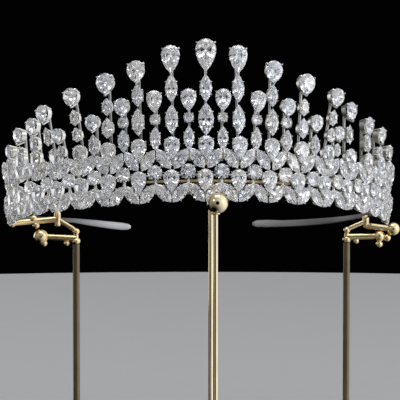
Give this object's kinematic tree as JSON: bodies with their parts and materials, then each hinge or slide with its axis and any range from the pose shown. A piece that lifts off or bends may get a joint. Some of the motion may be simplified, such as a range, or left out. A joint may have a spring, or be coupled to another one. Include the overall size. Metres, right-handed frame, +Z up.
{
  "type": "tiara on stand",
  "caption": "Open-backed tiara of clear pear, marquise and round cut stones in white metal, with upright spikes, resting on a slim gold display stand.",
  "frame": {"origin": "middle of the underside of the stand's hub, on the surface it stands on", "axes": "+Z up, -Y towards the front of the tiara, +X to the right seen from the front"},
  "size_m": [0.1642, 0.1612, 0.1604],
  "materials": {
    "crystal": "clear cut stones in polished white metal settings",
    "gold": "polished pale gold plate",
    "white_metal": "satin white metal"
  },
  "bodies": {
    "root": {"lower_garland": "crystal", "upper_garland": "crystal", "base_rail": "gold", "tall_spike_c": "crystal", "drop_stone_c": "crystal", "tall_spike_l1": "crystal", "drop_stone_l1": "crystal", "tall_spike_r1": "crystal", "drop_stone_r1": "crystal", "tall_spike_l2": "crystal", "drop_stone_l2": "crystal", "tall_spike_r2": "crystal", "drop_stone_r2": "crystal", "tall_spike_l3": "crystal", "drop_stone_l3": "crystal", "tall_spike_r3": "crystal", "drop_stone_r3": "crystal", "tall_spike_l4": "crystal", "drop_stone_l4": "crystal", "tall_spike_r4": "crystal", "drop_stone_r4": "crystal", "tall_spike_l5": "crystal", "drop_stone_l5": "crystal", "tall_spike_r5": "crystal", "drop_stone_r5": "crystal", "tall_spike_l6": "crystal", "drop_stone_l6": "crystal", "tall_spike_r6": "crystal", "drop_stone_r6": "crystal", "tall_spike_l7": "crystal", "drop_stone_l7": "crystal", "tall_spike_r7": "crystal", "drop_stone_r7": "crystal", "tall_spike_l8": "crystal", "drop_stone_l8": "crystal", "tall_spike_r8": "crystal", "drop_stone_r8": "crystal", "short_spike_l1": "crystal", "short_spike_r1": "crystal", "short_spike_l2": "crystal", "short_spike_r2": "crystal", "short_spike_l3": "crystal", "short_spike_r3": "crystal", "short_spike_l4": "crystal", "short_spike_r4": "crystal", "short_spike_l5": "crystal", "short_spike_r5": "crystal", "back_strap_left": "white_metal", "back_strap_right": "white_metal", "stand_base": "gold", "front_fork": "gold", "left_post": "gold", "left_bracket": "gold", "right_post": "gold", "right_bracket": "gold"}
  },
  "joints": []
}
